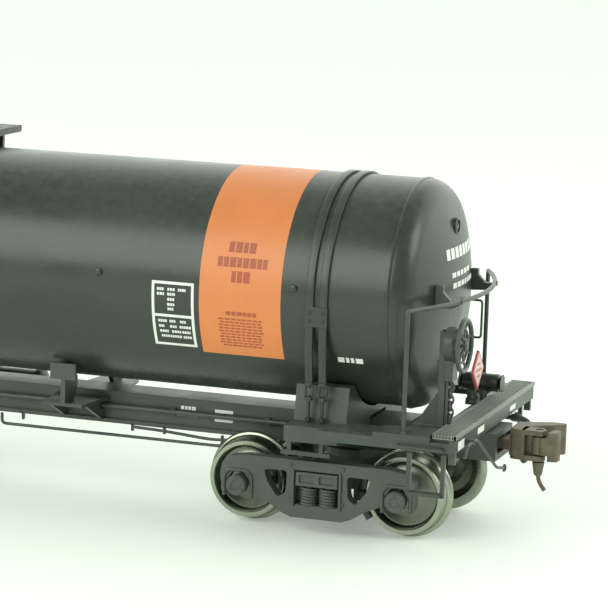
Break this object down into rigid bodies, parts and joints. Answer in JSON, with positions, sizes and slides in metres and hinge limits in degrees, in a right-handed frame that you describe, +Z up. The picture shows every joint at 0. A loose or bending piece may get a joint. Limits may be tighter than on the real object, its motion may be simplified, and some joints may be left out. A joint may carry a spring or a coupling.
{
  "type": "model tank wagon",
  "caption": "Scale-model railway tank wagon: long horizontal tank with dished heads on a sill, end platforms, hand brake, swivelling trucks and knuckle couplers.",
  "frame": {"origin": "on the ground plane under the middle of the wagon; the ground plane touches the wheel flanges, 0.64 mm below the rail tops", "axes": "+X along the wagon towards the hand brake end, +Y to the left of that direction, +Z up"},
  "size_m": [0.173, 0.037, 0.0469],
  "materials": {
    "tank_black": "satin black paint",
    "frame_black": "satin black paint",
    "truck_black": "moulded engineering plastic",
    "wheel_metal": "turned, nickel plated",
    "coupler_brown": "chemically browned casting",
    "plain_steel": "plain",
    "placard_red": "painted"
  },
  "bodies": {
    "wagon_body": {"air_hose_a": "frame_black", "air_hose_b": "frame_black", "air_reservoir": "tank_black", "ballast_bar": "plain_steel", "bolster_saddle_a": "frame_black", "bolster_saddle_b": "frame_black", "bottom_outlet": "frame_black", "brake_cylinder": "frame_black", "brake_gear_box": "frame_black", "brake_rod": "frame_black", "brake_stand": "frame_black", "center_sill": "frame_black", "draft_gear_box_a": "frame_black", "draft_gear_box_b": "frame_black", "end_frame_a": "frame_black", "end_frame_b": "frame_black", "end_grating_a": "frame_black", "end_grating_b": "frame_black", "handrail_a": "frame_black", "handrail_b": "frame_black", "head_grab_iron": "frame_black", "kingpin_screw_a": "plain_steel", "kingpin_screw_b": "plain_steel", "ladder_left": "frame_black", "ladder_right": "frame_black", "manway_lid": "tank_black", "manway_neck": "tank_black", "placard_a": "placard_red", "placard_b": "placard_red", "safety_valve": "tank_black", "sill_step_a_left": "frame_black", "sill_step_a_right": "frame_black", "sill_step_b_left": "frame_black", "sill_step_b_right": "frame_black", "tank_barrel": "tank_black", "tank_head_a": "tank_black", "tank_head_b": "tank_black", "tank_strap_a_inner": "tank_black", "tank_strap_a_outer": "tank_black", "tank_strap_b_inner": "tank_black", "tank_strap_b_outer": "tank_black", "top_platform": "frame_black", "train_pipe": "frame_black", "uncoupling_lever_a": "frame_black", "uncoupling_lever_b": "frame_black"},
    "truck_b": {"truck_bolster_b": "truck_black", "side_frame_b_left": "truck_black", "side_frame_b_right": "truck_black"},
    "wheelset_b_outer": {"wheelset_b_outer": "wheel_metal"},
    "wheelset_b_inner": {"wheelset_b_inner": "wheel_metal"},
    "coupler_b": {"coupler_b": "coupler_brown"},
    "knuckle_b": {"knuckle_b": "coupler_brown"},
    "truck_a": {"truck_bolster_a": "truck_black", "side_frame_a_left": "truck_black", "side_frame_a_right": "truck_black"},
    "wheelset_a_outer": {"wheelset_a_outer": "wheel_metal"},
    "wheelset_a_inner": {"wheelset_a_inner": "wheel_metal"},
    "coupler_a": {"coupler_a": "coupler_brown"},
    "knuckle_a": {"knuckle_a": "coupler_brown"},
    "brake_wheel": {"brake_wheel": "frame_black"}
  },
  "joints": [
    {"name": "truck_b_swivel", "type": "hinge", "parent": "wagon_body", "child": "truck_b", "pos_m": [0.06, 0, 0.0086], "axis": [0, 0, 1], "range_deg": [-10, 10]},
    {"name": "wheelset_b_outer_roll", "type": "hinge", "parent": "truck_b", "child": "wheelset_b_outer", "pos_m": [0.06994, 0, 0.00545], "axis": [0, 1, 0], "continuous": true},
    {"name": "wheelset_b_inner_roll", "type": "hinge", "parent": "truck_b", "child": "wheelset_b_inner", "pos_m": [0.05006, 0, 0.00545], "axis": [0, 1, 0], "continuous": true},
    {"name": "coupler_b_swing", "type": "hinge", "parent": "wagon_body", "child": "coupler_b", "pos_m": [0.0722, 0, 0.011], "axis": [0, 0, 1], "range_deg": [-12, 12], "stiffness_Nm_per_rad": 0.0005},
    {"name": "knuckle_b_open", "type": "hinge", "parent": "coupler_b", "child": "knuckle_b", "pos_m": [0.084, -0.00135, 0.01139], "axis": [0, 0, 1], "range_deg": [-25, 0], "stiffness_Nm_per_rad": 0.0002},
    {"name": "truck_a_swivel", "type": "hinge", "parent": "wagon_body", "child": "truck_a", "pos_m": [-0.06, 0, 0.0086], "axis": [0, 0, 1], "range_deg": [-10, 10]},
    {"name": "wheelset_a_outer_roll", "type": "hinge", "parent": "truck_a", "child": "wheelset_a_outer", "pos_m": [-0.06994, 0, 0.00545], "axis": [0, 1, 0], "continuous": true},
    {"name": "wheelset_a_inner_roll", "type": "hinge", "parent": "truck_a", "child": "wheelset_a_inner", "pos_m": [-0.05006, 0, 0.00545], "axis": [0, 1, 0], "continuous": true},
    {"name": "coupler_a_swing", "type": "hinge", "parent": "wagon_body", "child": "coupler_a", "pos_m": [-0.0722, 0, 0.011], "axis": [0, 0, 1], "range_deg": [-12, 12], "stiffness_Nm_per_rad": 0.0005},
    {"name": "knuckle_a_open", "type": "hinge", "parent": "coupler_a", "child": "knuckle_a", "pos_m": [-0.084, 0.00135, 0.01139], "axis": [0, 0, 1], "range_deg": [-25, 0], "stiffness_Nm_per_rad": 0.0002},
    {"name": "brake_wheel_turn", "type": "hinge", "parent": "wagon_body", "child": "brake_wheel", "pos_m": [0.077, -0.0113, 0.02444], "axis": [1, 0, 0], "continuous": true}
  ]
}
